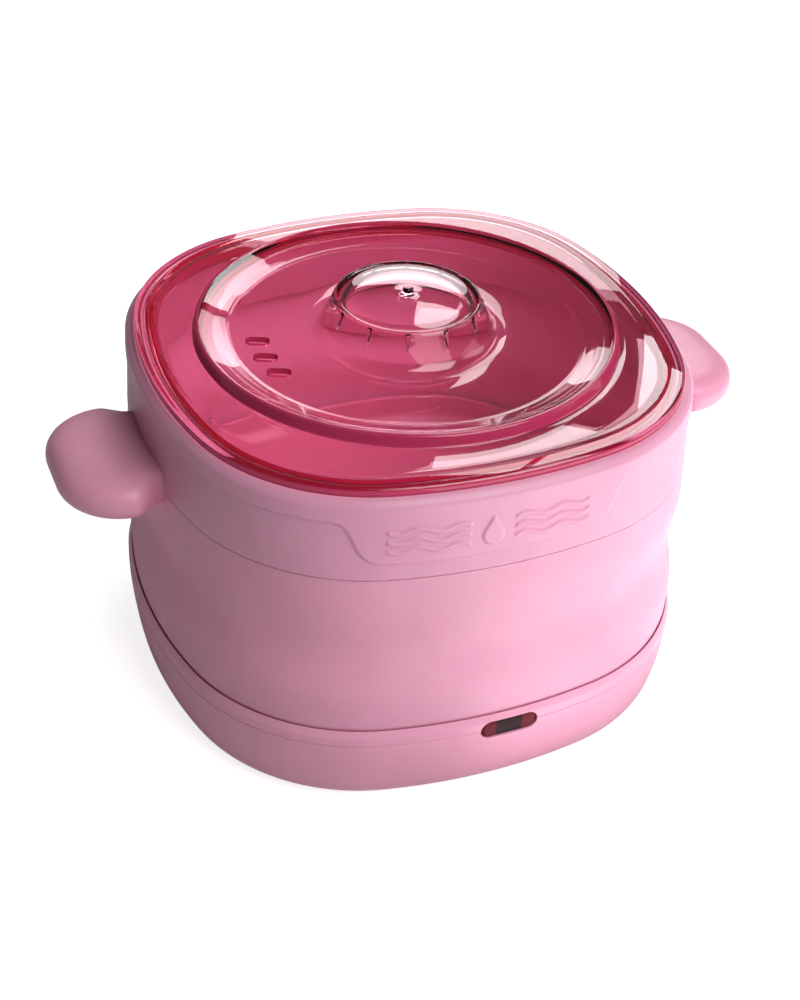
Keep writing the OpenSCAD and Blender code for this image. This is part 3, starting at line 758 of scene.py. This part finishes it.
def build_handle(side, name):
    """A soft pebble-shaped grip with a fine parting groove and a gently domed top."""
    half_thick = (HANDLE_HIGH.z - HANDLE_LOW.z) / 2
    middle = (HANDLE_HIGH.z + HANDLE_LOW.z) / 2
    root_x = HALF_WIDTH + 1.1
    bend = 11.0
    parting = -3.2
    heights = sorted([half_thick * math.sin(math.radians(90 * k / 20)) for k in range(-20, 21)]
                     + [parting + 0.1 * k for k in range(-5, 6)])
    rings = []
    for z in heights:
        round_off = bend * (1 - (1 - min(1, abs(z) / half_thick) ** 2.3) ** (1 / 2.3))
        groove = 0.18 * math.exp(-((z - parting) / 0.2) ** 2)
        plan = handle_plan(round_off + groove, root_x)
        rings.append(np.c_[side * plan[:, 0], plan[:, 1], np.full(len(plan), middle + z)])
    columns = len(rings[0])
    faces = grid_faces(len(rings), columns, False)
    faces.append(tuple(range(columns))[::-1])
    faces.append(tuple(range((len(rings) - 1) * columns, len(rings) * columns)))
    piece = add_mesh(name + "_grip", np.vstack(rings), faces, [MATERIALS["handle"]], "rim")
    sharpen(piece, 50)
    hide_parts(name)
    return piece


# ---------------------------------------------------------------- folding wall, base and pan

def fold_skin(u):
    """How far the wall stands out at a share u of its height: a slight taper with soft waves."""
    wave = (math.cos(math.radians(470 * u - 60)) - 0.5) * math.sin(math.pi * u)
    return WALL_SWELL - 0.9 * u + FOLD_DEPTH * wave


def build_wall():
    """The folding wall, with the gasket that the pan sits on."""
    steps = 64
    height = COLLAR_Z - 0.1 - WALL_Z
    skin = [(fold_skin(i / steps), WALL_Z + height * i / steps) for i in range(steps + 1)]
    skin[0] = (skin[0][0] - 0.2, skin[0][1])
    lining = [(x - WALL_THICK, z) for x, z in skin[::-1]]
    foot = [(-8, WALL_LOW.z), (skin[0][0] - 0.4, WALL_LOW.z)]
    gasket = [(skin[0][0] - WALL_THICK, GASKET_TOP), (-8, GASKET_TOP)]
    wall = swept_ring("silicone_wall_skin", foot + skin + lining + gasket, MATERIALS["wall"], "base")
    sharpen(wall, 45)
    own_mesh(wall)
    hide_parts("fold_wall")
    return wall


def window_cutter(grow, y0, y1):
    """A pill-shaped bar along Y through the front at the seam."""
    width = LENS_HIGH.x - LENS_LOW.x + 0.3 + 2 * grow
    height = LENS_HIGH.z - LENS_LOW.z + 0.3 + 2 * grow
    middle_x = (LENS_HIGH.x + LENS_LOW.x) / 2
    middle_z = (LENS_HIGH.z + LENS_LOW.z) / 2
    cutter = prism(pill(width, height, steps=14), y0, y1)
    place = Matrix.Translation(Vector((middle_x, 0, middle_z)) * MM)
    cutter.data.transform(place @ Matrix.Rotation(math.radians(90), 4, "X"))
    return cutter


def build_base_ring():
    """The ring that closes the base and clamps the wall's foot."""
    low = SEAM_Z + 0.1
    profile = rounded([
        (-18, low, 0.3), (BASE_SWELL - 0.05, low, 0.35), (BASE_SWELL - 0.1, WALL_Z - 2.6, 2.0),
        (RING_TOP_SWELL - 0.3, WALL_Z - 0.3, 0.7), (WALL_SWELL + 0.1, WALL_Z - 0.5, 0.2),
        (WALL_SWELL + 0.1, WALL_LOW.z, 0.1), (-18, WALL_LOW.z, 0.3)], 6)
    ring = swept_ring("base_top_ring", profile, MATERIALS["base"], "base")
    cut_away(ring, [window_cutter(0, 70, 100)])
    sharpen(ring, 40)
    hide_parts("base_ring")
    return ring


def build_base_shell():
    """The bowl of the base: bowed sides, vent slits, screw and foot pockets, and its openings."""
    z = FLOOR_Z
    skin = [(-4.5, z), (-2, z + 0.7), (0.4, z + 2), (2.2, z + 4.2), (3.2, z + 7), (4.4, 14.5),
            (BASE_SWELL - 0.2, SEAM_Z - 3.5), (BASE_SWELL, SEAM_Z - 0.4), (BASE_SWELL - 0.3, SEAM_Z)]
    offsets = np.interp(np.linspace(0, len(skin) - 1, 60), range(len(skin)), [p[0] for p in skin])
    heights = np.interp(np.linspace(0, len(skin) - 1, 60), range(len(skin)), [p[1] for p in skin])
    for _ in range(30):
        offsets[1:-6] = (offsets[:-7] + offsets[1:-6] * 2 + offsets[2:-5]) / 4
        heights[1:-6] = (heights[:-7] + heights[1:-6] * 2 + heights[2:-5]) / 4
    outer = list(zip(offsets, heights))
    inner = [(BASE_SWELL - 2.4, SEAM_Z), (BASE_SWELL - 2.4, SEAM_Z - 3), (2, 14.5),
             (0.8, z + 8), (-1.6, z + 4.6), (-4.5, z + 2.6)]
    rings = []
    section = [(None, z), (-40, z), (-20, z)] + outer + inner + [(-20, z + 2.6), (None, z + 2.6)]
    for offset, height in section:
        plan = middle_plan() if offset is None else outline(offset, COARSE)
        rings.append(np.c_[plan, np.full(len(plan), height)])
    columns = len(rings[0])
    faces = grid_faces(len(rings), columns, False)
    faces.append(tuple(range(columns))[::-1])
    faces.append(tuple(range((len(rings) - 1) * columns, len(rings) * columns)))
    shell = add_mesh("base_casing", np.vstack(rings), faces, [MATERIALS["base"]], "base")
    cutters = [window_cutter(0, 70, 100)]
    for k in range(-2, 3):
        slit = [(9 * k + py, -47 + px) for px, py in pill(14, 3)]
        cutters.append(prism(slit, -2, 6))
    for turns, reach, radius, steps, top in (((20, 160, 200, 340), 74, 3.1, 24, 8),
                                             ((45, 135, 225, 315), 66, 7.1, 40, FLOOR_Z + 1.2)):
        for turn in turns:
            x, y = reach * math.cos(math.radians(turn)), reach * math.sin(math.radians(turn))
            cutters.append(prism(disc(radius, x, y, steps), -2, top))
    inlet_low, inlet_high = box_mm("power_inlet")
    left, right = inlet_low.x - 0.2, inlet_high.x + 0.2
    front, rear = HALF_DEPTH - 14, HALF_DEPTH + 14
    inlet_plan = [(left, front), (right, front), (right, rear), (left, rear)]
    cutters.append(prism(inlet_plan, inlet_low.z - 0.2, inlet_high.z + 0.2))
    cutters.append(dial_cutter())
    cut_away(shell, cutters)
    sharpen(shell, 40)
    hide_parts("base_shell")
    return shell


def dial_frame():
    """Middle of the dial's recess and the way it faces, from the joint."""
    joint = next(j for j in frame["joints"] if j["name"] == "dial_turn")
    return Vector(joint["pos_m"]) / MM, Vector(joint["axis"]).normalized()


def dial_cutter():
    """A round bar along the dial's axis, from the floor of its recess outwards."""
    place, axis = dial_frame()
    recess = HALF_DEPTH - 3
    cutter = prism(disc(9.5, steps=64), 0, 30)
    turn = axis.to_track_quat("Z", "Y").to_matrix().to_4x4()
    pivot = Vector((0, -FRONT_GAP, place.z))
    start = pivot + axis * (FRONT_GAP + recess)
    cutter.data.transform(Matrix.Translation(start * MM) @ turn)
    return cutter


def build_pan():
    """The shallow pan, with its lip inside the wall."""
    z0 = GASKET_TOP
    top = z0 + 1.6
    lip = PAN_HIGH.z
    wall = rounded([
        (-30, z0, 0), (-3.6, z0, 1.5), (-1.2, z0 + 2.1, 0.5), (0.6, z0 + 2.1, 0.3), (0.6, WALL_Z, 0.4),
        (-0.2, WALL_Z + 0.8, 0.6), (-0.2, lip - 0.1, 0.7), (-1.8, lip, 0.7), (-1.8, top + 3.4, 3.2),
        (-5.4, top, 3.2), (-30, top, 0)], 6)
    middle = middle_plan()
    rings = [np.c_[middle, np.full(len(middle), z0)]]
    for offset, z in wall:
        plan = outline(offset, COARSE)
        rings.append(np.c_[plan, np.full(len(plan), z)])
    rings.append(np.c_[middle, np.full(len(middle), top)])
    columns = len(rings[0])
    faces = grid_faces(len(rings), columns, False)
    faces.append(tuple(range(columns))[::-1])
    faces.append(tuple(range((len(rings) - 1) * columns, len(rings) * columns)))
    pan = add_mesh("pan_liner", np.vstack(rings), faces, [MATERIALS["pan"]], "base")
    sharpen(pan, 50)
    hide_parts("heating_pan")
    return pan


def build_lens():
    """The pill-shaped lens, bowed like the front and rounded over at its edge."""
    width = LENS_HIGH.x - LENS_LOW.x
    height = LENS_HIGH.z - LENS_LOW.z
    middle_x = (LENS_HIGH.x + LENS_LOW.x) / 2
    middle_z = (LENS_HIGH.z + LENS_LOW.z) / 2
    rings = []
    for inset, depth in ((0, -3.2), (0, -0.5), (0.12, -0.2), (0.4, 0), (1.2, 0.12), (2.2, 0.16)):
        ring = []
        for x, z in pill(width - 2 * inset, height - 2 * inset, steps=14):
            bow = (middle_x + x) ** 2 / (2 * FRONT_RADIUS)
            ring.append((middle_x + x, -(HALF_DEPTH + 5.0 + depth - bow), middle_z + z))
        rings.append(ring)
    columns = len(rings[0])
    faces = grid_faces(len(rings), columns, False)
    faces.append(tuple(range(columns))[::-1])
    faces.append(tuple(range((len(rings) - 1) * columns, len(rings) * columns)))
    lens = add_mesh("window_lens", np.vstack(rings), faces, [MATERIALS["lens"]], "base")
    sharpen(lens, 40)
    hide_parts("indicator_lens")
    return lens


def build_rounded_copy(node, body, width):
    """A copy of a small CAD piece with its edges rounded."""
    source = frame["nodes"][node]
    piece = bpy.data.objects.new(node + "_rounded", source.data.copy())
    bpy.context.scene.collection.objects.link(piece)
    tidy_normals(piece.data)
    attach(piece, body)
    round_edges(piece, width)
    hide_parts(node)
    return piece


# ---------------------------------------------------------------- studio

# name, place, target, size and power of each softbox, in metres and watts
LIGHTS = (
    ("key", (0.36, -0.76, 1.05), (0, 0, 0.06), (0.9, 0.9), 13.5),
    ("side", (1.16, -0.25, 0.55), (0, 0, 0.06), (0.7, 0.5), 2.2),
    ("window", (0.664, 0.690, 0.920), (0.062, -0.109, 0.920), (0.24, 0.55), 2.9),
    ("window_top", (0.484, 0.825, 1.006), (-0.118, 0.026, 1.006), (0.18, 0.388), 1.4),
    ("low_panel", (0.400, 0.888, 0.435), (-0.202, 0.089, 0.435), (0.47, 0.31), 1.7),
    ("right_bounce", (0.37, 0.12, 0.003), (0.37, 0.12, 1), (0.56, 0.46), 0.9),
    ("front_bounce", (0.25, -0.4, 0.003), (0.25, -0.4, 1), (0.5, 0.6), 1.7),
)
CAMERA_TURNS = (-22.73, 35.79, 2.74)
CAMERA_DISTANCE = 628.25
CAMERA_TARGET = (0.72, 0, 52.63)
CAMERA_LENS = 1887.76 * 36 / 1000


def area_light(name, place, target, size, power):
    """A rectangular softbox that the camera doesn't see directly."""
    lamp = bpy.data.lights.new(name, "AREA")
    lamp.shape = "RECTANGLE"
    lamp.size, lamp.size_y = size
    lamp.energy = power
    obj = bpy.data.objects.new(name, lamp)
    bpy.context.scene.collection.objects.link(obj)
    obj.location = place
    obj.visible_camera = False
    obj.rotation_euler = (Vector(target) - Vector(place)).to_track_quat("-Z", "Y").to_euler()
    return obj


def build_floor():
    """A plain pale sheet that glows a little for the camera, so that it stays white to its far edge."""
    size = 6.0
    mesh = bpy.data.meshes.new("floor")
    corners = [(-size, -size, 0), (size, -size, 0), (size, size, 0), (-size, size, 0)]
    mesh.from_pydata(corners, [], [(0, 1, 2, 3)])
    floor = bpy.data.objects.new("floor", mesh)
    bpy.context.scene.collection.objects.link(floor)
    n = Nodes("floor_paper")
    shader = n.add("ShaderNodeBsdfPrincipled", Roughness=0.9)
    n.put(shader, "Base Color", (0.8, 0.8, 0.8, 1))
    n.put(shader, "Specular IOR Level", 0.1)
    n.put(shader, "Emission Color", (1, 1, 1, 1))
    seen = n.add("ShaderNodeLightPath").outputs["Is Camera Ray"]
    n.put(shader, "Emission Strength", n.spread(seen, 0, 0.8, 0, 1))
    n.tree.links.new(shader.outputs[0], n.out.inputs["Surface"])
    mesh.materials.append(n.material)
    return floor


def build_studio():
    """Pale floor and world, soft lights in front, and panels behind that the lid mirrors."""
    build_floor()
    scene = bpy.context.scene
    scene.world = bpy.data.worlds.new("studio")
    scene.world.use_nodes = True
    tree = scene.world.node_tree
    background = tree.nodes["Background"]
    background.inputs["Color"].default_value = (0.97, 0.98, 1, 1)
    seen = tree.nodes.new("ShaderNodeLightPath").outputs["Is Camera Ray"]
    level = tree.nodes.new("ShaderNodeMapRange")
    level.inputs["To Min"].default_value = 0.09
    level.inputs["To Max"].default_value = 1.0
    tree.links.new(seen, level.inputs["Value"])
    tree.links.new(level.outputs["Result"], background.inputs["Strength"])
    for light in LIGHTS:
        area_light(*light)


def build_camera():
    """The camera solved from the photo: turns in degrees, distance and target in millimetres."""
    azimuth, elevation, roll = (math.radians(a) for a in CAMERA_TURNS)
    distance = CAMERA_DISTANCE * MM
    target = Vector(CAMERA_TARGET) * MM
    level = math.cos(elevation)
    back = Vector((math.sin(azimuth) * level, -math.cos(azimuth) * level, math.sin(elevation)))
    right = Vector((math.cos(azimuth), math.sin(azimuth), 0))
    up = back.cross(right)
    rolled_right = right * math.cos(roll) + up * math.sin(roll)
    rolled_up = up * math.cos(roll) - right * math.sin(roll)
    data = bpy.data.cameras.new("camera")
    data.sensor_width = 36
    data.sensor_fit = "AUTO"
    data.lens = CAMERA_LENS
    data.clip_start = 0.01
    camera = bpy.data.objects.new("camera", data)
    bpy.context.scene.collection.objects.link(camera)
    camera.matrix_world = Matrix((
        (rolled_right.x, rolled_up.x, back.x, target.x + back.x * distance),
        (rolled_right.y, rolled_up.y, back.y, target.y + back.y * distance),
        (rolled_right.z, rolled_up.z, back.z, target.z + back.z * distance),
        (0, 0, 0, 1)))
    bpy.context.scene.camera = camera


build_camera()
build_studio()
build_lid()
build_knob_fins()
build_collar()
build_rim_frame()
build_handle(-1, "left_handle")
build_handle(1, "right_handle")
build_wall()
build_base_ring()
build_base_shell()
build_pan()
build_lens()
build_rounded_copy("power_inlet", "base", 0.35)
build_rounded_copy("heat_dial", "dial", 0.3)
build_rounded_copy("rubber_feet", "base", 0.3)

view = bpy.context.scene.view_settings
view.view_transform = "Standard"
view.look = "None"
